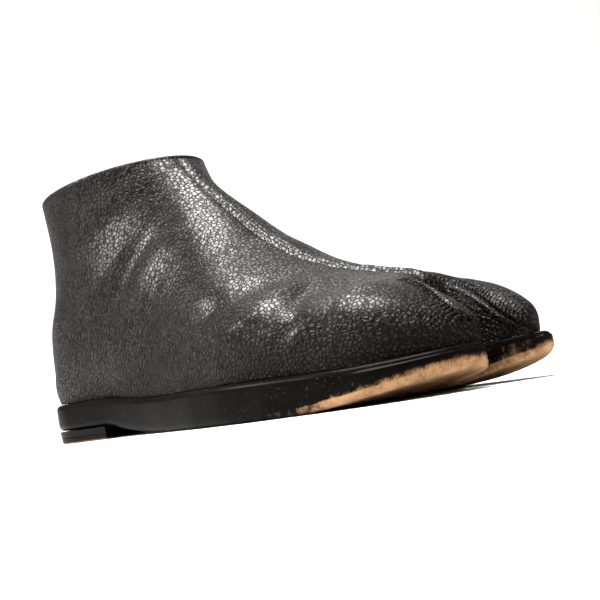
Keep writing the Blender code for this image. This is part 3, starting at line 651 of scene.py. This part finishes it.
# Sole, heel and footbed: loops round the foot's outline, one above the other
def featherLoop(count, lobeCount):
    # the upper's lower edge from above, once round, and 1 for each point inside the split
    bodyX = edgeStations(count)
    shares = (1 - np.cos(np.linspace(0, math.pi, lobeCount + 1)[1:])) / 2
    sides = {}
    for side, lobe in lobes.items():
        x = root + (lobe["tip"] - root) * shares
        sections = lobeHalf(lobe, x, 8)
        bodyPart = lobeHalf(lobe, bodyX[1:-1], 8)[:, 0, :2]
        atRoot = lobeHalf(lobe, np.array([root]), 8)[0, 0, :2]
        outer = np.concatenate((bodyPart, atRoot[None], sections[:, 0, :2]))
        sides[side] = (outer, sections[:-1, -1, :2])
    outerA, innerA = sides[-1]
    outerB, innerB = sides[1]
    loop = np.concatenate(([[back, 0.0]], outerA, innerA[::-1], [[root, last["splitSide"]]],
                           innerB, outerB[::-1]))
    inSplit = np.concatenate((np.zeros(1 + len(outerA)), np.ones(len(innerA) + 1 + len(innerB)),
                              np.zeros(len(outerB))))
    return loop, inSplit


def widen(loop, amount):
    # moves a loop outwards by an amount at each point, along the mean of its two edges' normals
    ahead = np.roll(loop, -1, axis=0) - loop
    ahead /= np.maximum(np.linalg.norm(ahead, axis=1), 1e-9)[:, None]
    mean = ahead + np.roll(ahead, 1, axis=0)
    mean /= np.maximum(np.linalg.norm(mean, axis=1), 1e-9)[:, None]
    return loop + np.stack((mean[:, 1], -mean[:, 0]), axis=1) * np.broadcast_to(amount, len(loop))[:, None]


def capFaces(count, lobeCount):
    # faces across a feather loop, by its numbering, from heel to toes
    bodyEnd = count - 1
    firstLobe = bodyEnd + lobeCount
    middle = firstLobe + lobeCount
    total = 1 + 2 * (bodyEnd + lobeCount) + 2 * (lobeCount - 1) + 1
    faces = [(0, 1, total - 1)]
    faces += [(k, k + 1, total - k - 1, total - k) for k in range(1, bodyEnd - 1)]
    faces += [(bodyEnd - 1, bodyEnd, middle), (bodyEnd - 1, middle, total - bodyEnd + 1),
              (middle, total - bodyEnd, total - bodyEnd + 1)]
    for k in range(lobeCount - 1):
        faces.append((bodyEnd + k, bodyEnd + k + 1, middle - k - 1, middle - k))
        faces.append((total - bodyEnd - k, middle + k, middle + k + 1, total - bodyEnd - k - 1))
    k = lobeCount - 1
    faces += [(bodyEnd + k, firstLobe, middle - k), (total - bodyEnd - k, middle + k, total - firstLobe)]
    return faces


def slabMesh(name, levels, count, lobeCount, material, extra=None):
    # closed solid through loops of equal numbering, the first the highest
    size = len(levels[0])
    side = gridFaces(len(levels), size, closed=True).tolist()
    caps = capFaces(count, lobeCount)
    low = size * (len(levels) - 1)
    faces = [tuple(f) for f in side] + [tuple(f) for f in caps] + [tuple(v + low for v in f) for f in caps]
    piece = makeMesh(name, np.concatenate(levels), faces, material, extra)
    turnOutwards(piece)
    return piece


def turnOutwards(piece):
    work = bmesh.new()
    work.from_mesh(piece.data)
    bmesh.ops.recalc_face_normals(work, faces=work.faces)
    work.to_mesh(piece.data)
    work.free()


solePiece = {
    "stations": 150, "lobeStations": 60, "lip": 0.0024, "lowerEdge": 0.0026, "bulge": 0.0005,
    "black": (0.0014, 0.0013, 0.0012), "dust": (0.075, 0.060, 0.046),
    "tan": (0.36, 0.215, 0.112), "tanDark": (0.155, 0.080, 0.038), "tanPale": (0.48, 0.345, 0.205),
}


def soleLeather(look):
    # painted edge above, bare leather below, with a ragged border between
    material, paint, shader, place = newMaterial("soleLeather", {"Specular IOR Level": 0.01,
                                                                 "Coat Roughness": 0.25})
    bare = paint.node("ShaderNodeAttribute", {"attribute_name": "bare"}, [], 2)
    tread = paint.node("ShaderNodeAttribute", {"attribute_name": "tread"}, [], 2)
    fibre = paint.noise(paint.along(place, (1500.0, 1500.0, 260.0)), 1.0, 3.0, 0.6)
    ragged = paint.noise(place, 420.0, 4.0, 0.65)
    blots = paint.noise(place, 110.0, 3.0)
    border = bare + (ragged - 0.5) * 0.70 + (fibre - 0.5) * 0.16 + (blots - 0.5) * 0.7
    mask = border.step(0.28, 0.80)
    streak = paint.noise(paint.along(place, (110.0, 110.0, 1400.0)), 1.0, 4.0, 0.6)
    dustSpot = paint.noise(place, 1300.0, 2.0).step(0.66, 0.74)
    dustCloud = paint.noise(place, 48.0, 4.0).step(0.40, 0.75)
    painted = paint.mix(dustSpot * 0.55 + dustCloud * streak * 0.05, look["black"], look["dust"])
    grain = paint.noise(place, 95.0, 6.0, 0.62)
    wornTan = paint.mix(grain.step(0.30, 0.70), look["tanDark"], look["tan"])
    wornTan = paint.mix(fibre.step(0.45, 0.75) * 0.30, wornTan, look["tanPale"])
    scuff = paint.noise(paint.along(place, (70.0, 900.0, 900.0)), 1.0, 4.0).step(0.55, 0.75)
    wornTan = paint.mix(tread * scuff * 0.55, wornTan, look["tanDark"])
    colour = paint.mix(mask, painted, wornTan)
    rough = 0.29 + streak * 0.14 + dustCloud * 0.10 + mask * 0.30
    height = streak * 0.5 + ragged * 0.5 + mask * fibre * 0.8 - mask * 0.8
    normal = bump(paint, height, 0.00012)
    feed(paint, shader, {"Base Color": colour, "Roughness": rough, "Normal": normal,
                         "Coat Weight": 0.035 - mask * 0.035})
    return material


soleFinish = soleLeather(solePiece)


def makeSole():
    # profile round the edge: a rounded lip, a slightly full wall and a rounded lower edge
    piece = solePiece
    loop, inSplit = featherLoop(piece["stations"], piece["lobeStations"])
    toe = cubic(sideTable, 4, loop[:, 0] / last["soleLength"])
    outside = last["soleMargin"] + (last["toeMargin"] - last["soleMargin"]) * toe
    margin = outside + (last["slotMargin"] - outside) * inSplit
    lip, low = np.minimum(piece["lip"], margin), np.minimum(piece["lowerEdge"], margin)
    split = np.convolve(np.concatenate((inSplit[-6:], inSplit, inSplit[:6])), np.ones(13) / 13, "valid")
    levels, bares, treads = [], [], []

    def level(inset, share, lift, drop, tread):
        # share is the height between the bottom, 0, and the top, 1
        ring = widen(loop, margin - inset)
        x = np.clip(ring[:, 0], 0, last["soleLength"])
        height = soleBottom(x) * (1 - share) + soleTop(x) * share + lift - drop
        levels.append(np.column_stack((ring, height)))
        along = x / last["soleLength"]
        reach = (-0.24 + 0.22 * np.clip((along - 0.70) / 0.10, 0, 1)
                 + 0.48 * np.clip((along - 0.79) / 0.19, 0, 1))  # how far up the wall the leather is bare
        bare = np.clip(0.5 + (reach - 0.10 * split - share) * 2.0, 0, 1)
        bare = np.maximum(bare * (1 - 0.35 * split), 0.33 * split * (share < 0.95))
        bares.append(np.ones(len(ring)) if tread else bare)
        treads.append(np.full(len(ring), float(tread)))

    for turn in np.linspace(0, math.pi / 2, 7):
        level(lip * (1 - math.sin(turn)), 1, 0, piece["lip"] * (1 - math.cos(turn)), False)
    for share in np.linspace(0.80, 0.26, 8):
        level(-piece["bulge"] * math.sin(math.pi * share) * (1 - inSplit) * toe, share, 0, 0, False)
    for turn in np.linspace(0, math.pi / 2, 9):
        level(low * (1 - math.cos(turn)), 0, piece["lowerEdge"] * (1 - math.sin(turn)), 0, turn > 1.45)
    extra = {"bare": np.concatenate(bares), "tread": np.concatenate(treads)}
    return slabMesh("leatherSole", levels, piece["stations"], piece["lobeStations"], soleFinish, extra)


sole = makeSole()
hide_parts("outsole")
print("sole made")

insolePiece = {"stations": 70, "lobeStations": 26, "thickness": 0.0030, "ease": 0.0012, "edge": 0.0007}
insoleLeather = tanLeather("tanFootbed", (0.24, 0.155, 0.085), (0.42, 0.29, 0.175), 0.55)


def makeInsole():
    piece = insolePiece
    loop, inSplit = featherLoop(piece["stations"], piece["lobeStations"])
    inset = last["wall"] + last["clearance"] + piece["ease"] * inSplit
    levels = []
    for turn in np.linspace(0, math.pi / 2, 5):
        ring = widen(loop, -inset - piece["edge"] * (1 - math.sin(turn)))
        top = soleTop(ring[:, 0]) + last["clearance"] + piece["thickness"]
        levels.append(np.column_stack((ring, top - piece["edge"] * (1 - math.cos(turn)))))
    ring = widen(loop, -inset)
    levels.append(np.column_stack((ring, soleTop(ring[:, 0]) + last["clearance"])))
    return slabMesh("footbed", levels, piece["stations"], piece["lobeStations"], insoleLeather)


insole = makeInsole()
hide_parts("insole")

heelPiece = {"breast": 0.066, "height": 0.0060, "flare": 0.0006, "edge": 0.0009, "layers": 2,
             "groove": 0.00018}


def heelFinish():
    material, paint, shader, place = newMaterial("heelLeather", {"Specular IOR Level": 0.01,
                                                                 "Coat Roughness": 0.25})
    up = paint.node("ShaderNodeSeparateXYZ", {}, [place], 2)
    fibre = paint.noise(paint.along(place, (60.0, 60.0, 1800.0)), 1.0, 4.0)
    dust = paint.noise(place, 1500.0, 2.0).step(0.70, 0.77)
    grain = paint.noise(place, 90.0, 6.0)
    scuff = paint.noise(paint.along(place, (60.0, 800.0, 800.0)), 1.0, 4.0).step(0.5, 0.75)
    under = 1 - (up + (grain - 0.5) * 0.0006).step(0.00025, 0.0009)
    black = paint.mix(dust * 0.5 + fibre * 0.02, solePiece["black"], solePiece["dust"])
    tan = paint.mix(grain.step(0.3, 0.7), solePiece["tanDark"], solePiece["tan"])
    tan = paint.mix(scuff * 0.5, tan, solePiece["tanDark"])
    normal = bump(paint, fibre + grain * under, 0.00012)
    feed(paint, shader, {"Base Color": paint.mix(under, black, tan), "Normal": normal,
                         "Roughness": 0.36 + fibre * 0.14 + under * 0.3,
                         "Coat Weight": 0.035 - under * 0.035})
    return material


def makeHeel():
    # the sole's outline behind a straight front, drawn in a little towards the tread
    piece = heelPiece
    loop, _ = featherLoop(90, 12)
    line = widen(loop, last["soleMargin"])
    ends = {}
    for side, half in ((-1, line[1:89]), (1, line[-1:-89:-1])):
        kept = half[half[:, 0] < piece["breast"] - 0.0012]
        beyond = half[len(kept)]
        share = (piece["breast"] - kept[-1, 0]) / (beyond[0] - kept[-1, 0])
        ends[side] = np.vstack((kept, kept[-1] + share * (beyond - kept[-1])))
    front = np.linspace(ends[-1][-1], ends[1][-1], 24)[1:-1]
    outline = np.vstack((line[:1], ends[-1], front, ends[1][::-1]))
    middle = np.array((piece["breast"] / 2, 0.0))
    away = (middle - outline) / np.linalg.norm(outline - middle, axis=1)[:, None]
    seamAt = piece["height"] / piece["layers"]
    heights = np.concatenate((np.linspace(piece["height"], seamAt + 0.0004, 5),
                              seamAt + np.array([0.0002, 0, -0.0002, -0.0004]),
                              np.linspace(seamAt - 0.0006, piece["edge"], 4)))
    insets = (piece["height"] - heights) / piece["height"] * piece["flare"]
    insets = insets + piece["groove"] * np.exp(-((heights - seamAt) / 0.0002) ** 2)
    turn = np.linspace(0, math.pi / 2, 6)[1:]
    heights = np.concatenate((heights, piece["edge"] * (1 - np.sin(turn))))
    insets = np.concatenate((insets, piece["flare"] + piece["edge"] * (1 - np.cos(turn))))
    rings = [np.column_stack((outline + away * inset, np.full(len(outline), height)))
             for height, inset in zip(heights, insets)]
    size = len(outline)
    faces = [tuple(f) for f in gridFaces(len(rings), size, closed=True).tolist()]
    faces += [tuple(range(size)), tuple(range(size * (len(rings) - 1), size * len(rings)))]
    made = makeMesh("heelLift", np.concatenate(rings), faces, heelFinish())
    turnOutwards(made)
    made.data.set_sharp_from_angle(angle=math.radians(50))
    return made


heel = makeHeel()
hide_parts("heel")
print("footbed and heel made")

# Stage: a pale sweep, soft lights and the camera
stage = {
    "floor": (0.56, 0.555, 0.548), "world": (1.0, 1.0, 1.0), "worldPower": 0.15,
    "lights": [  # name, place, aim, size, power, colour
        ("keyLight", (-0.72, -0.80, 0.66), (0.08, 0.0, 0.06), 0.46, 24.0, (1.0, 0.965, 0.94)),
        ("topLight", (0.06, -0.10, 1.10), (0.17, 0.0, 0.04), 0.80, 78.0, (1.0, 0.970, 0.95)),
        ("frontLight", (1.05, -0.25, 0.75), (0.20, 0.0, 0.03), 0.35, 2.0, (1.0, 0.98, 0.96)),
        ("backdropLight", (-1.6, 1.0, 2.4), (-2.6, 1.9, 0.9), 2.2, 230.0, (1.0, 1.0, 1.0)),
    ],
    "camera": (0.5842, -0.3683, 0.0136), "yaw": 2.4455, "pitch": 0.0564, "roll": -0.1571, "focal": 1380.0,
}


def makeFloor():
    # a flat floor that curves up into a backdrop: a profile carried sideways
    turn = np.linspace(0, math.pi / 2, 25)
    far, radius = 3.0, 1.6
    out = np.concatenate(([-3.0, 0.0, far], far + radius * np.sin(turn), [far + radius]))
    up = np.concatenate(([0, 0, 0], radius * (1 - np.cos(turn)), [5.5]))
    heading = stage["yaw"]
    ahead = np.array([math.cos(heading), math.sin(heading)])
    across = np.array([-ahead[1], ahead[0]])
    side = np.linspace(-7, 7, 3)
    flat = ahead * out[:, None, None] + across * side[None, :, None]
    grid = np.concatenate((flat, np.broadcast_to(up[:, None, None], (*flat.shape[:2], 1))), axis=2)
    mesh = bpy.data.meshes.new("paleFloor")
    mesh.from_pydata(grid.reshape(-1, 3), [], gridFaces(*grid.shape[:2])[:, ::-1].tolist())
    mesh.shade_smooth()
    material, paint, shader, place = newMaterial("paleFloor", {"Specular IOR Level": 0.2, "Roughness": 0.85})
    cloud = paint.noise(place, 1.3, 3.0)
    darker = tuple(v * 0.985 for v in stage["floor"])
    feed(paint, shader, {"Base Color": paint.mix(cloud, stage["floor"], darker)})
    mesh.materials.append(material)
    floor = bpy.data.objects.new("paleFloor", mesh)
    bpy.context.scene.collection.objects.link(floor)


def makeLights():
    for name, place, aim, size, power, colour in stage["lights"]:
        light = bpy.data.lights.new(name, "AREA")
        light.shape, light.size, light.energy, light.color = "DISK", size, power, colour
        lamp = bpy.data.objects.new(name, light)
        lamp.location = place
        lamp.visible_camera = False
        lamp.rotation_euler = (Vector(aim) - Vector(place)).to_track_quat("-Z", "Y").to_euler()
        bpy.context.scene.collection.objects.link(lamp)
    world = bpy.data.worlds.new("studio")
    world.use_nodes = True
    shade = world.node_tree.nodes["Background"]
    shade.inputs["Color"].default_value = (*stage["world"], 1)
    shade.inputs["Strength"].default_value = stage["worldPower"]
    bpy.context.scene.world = world


def makeCamera():
    yaw, pitch, roll = stage["yaw"], stage["pitch"], stage["roll"]
    ahead = np.array([math.cos(pitch) * math.cos(yaw), math.cos(pitch) * math.sin(yaw), math.sin(pitch)])
    right = np.array([math.sin(yaw), -math.cos(yaw), 0.0])
    up = np.cross(right, ahead)
    turnedRight = right * math.cos(roll) + up * math.sin(roll)
    turnedUp = -right * math.sin(roll) + up * math.cos(roll)
    data = bpy.data.cameras.new("camera")
    data.sensor_width, data.lens = 36.0, stage["focal"] / 600 * 36.0
    data.clip_start, data.clip_end = 0.01, 50.0
    camera = bpy.data.objects.new("camera", data)
    matrix = Matrix.Identity(4)
    for k, axis in enumerate((turnedRight, turnedUp, -ahead, stage["camera"])):
        for j in range(3):
            matrix[j][k] = float(axis[j])
    camera.matrix_world = matrix
    bpy.context.scene.collection.objects.link(camera)
    bpy.context.scene.camera = camera


makeFloor()
makeLights()
makeCamera()
bpy.context.scene.view_settings.view_transform = "Standard"
print("stage made")
